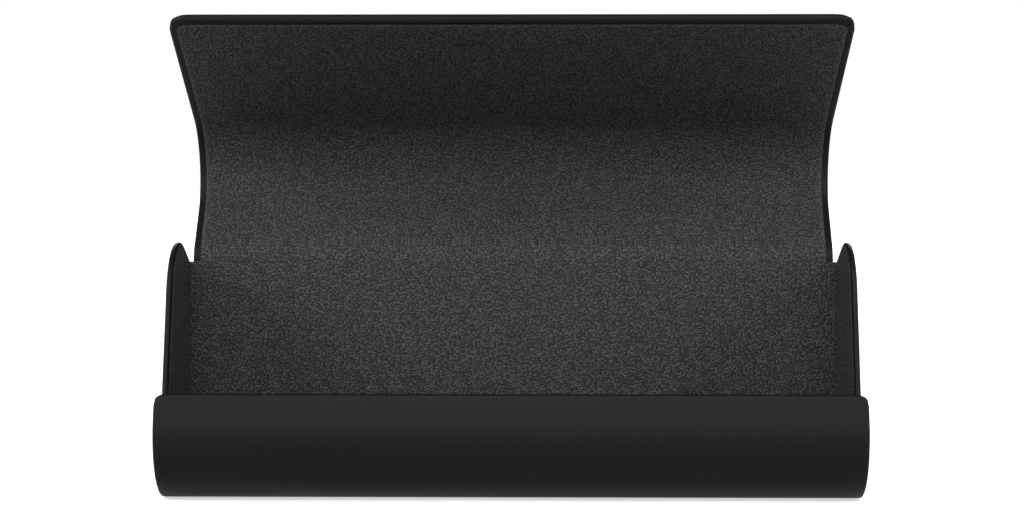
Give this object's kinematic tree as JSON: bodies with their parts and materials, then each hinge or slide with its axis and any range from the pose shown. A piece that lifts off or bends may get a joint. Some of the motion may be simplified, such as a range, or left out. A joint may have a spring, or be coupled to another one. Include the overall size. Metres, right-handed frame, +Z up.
{
  "type": "eyeglasses case",
  "caption": "Hard spectacle case that stands on a narrow flat base, with a curved front, upright end walls and a curved lid that folds back on a soft hinge.",
  "frame": {"origin": "centre of the flat underside that the case stands on", "axes": "+X to the right along the case, -Y to the front that the lid closes over, +Z up"},
  "size_m": [0.1624, 0.055, 0.1125],
  "materials": {
    "board": "matte pressed paperboard",
    "leatherette": "satin fine-grained",
    "lining": "embossed, satin highlights",
    "keeper_steel": "satin",
    "magnet_nickel": "satin nickel"
  },
  "bodies": {
    "case": {"front_board": "board", "base_board": "board", "back_board": "board", "body_cover": "leatherette", "body_lining": "lining", "keeper_plate": "keeper_steel", "left_end_board": "board", "left_end_cover": "leatherette", "left_end_lining": "lining", "right_end_board": "board", "right_end_cover": "leatherette", "right_end_lining": "lining", "hinge_spine": "leatherette", "hinge_lining": "lining"},
    "lid": {"lid_board": "board", "lid_cover": "leatherette", "lid_lining": "lining", "lid_magnet": "magnet_nickel"}
  },
  "joints": [
    {"name": "lid_hinge", "type": "hinge", "parent": "case", "child": "lid", "pos_m": [0, 0.0162, 0.05538], "axis": [1, 0, 0], "range_deg": [0, 108.7], "deforming": ["hinge_spine", "hinge_lining"]}
  ]
}
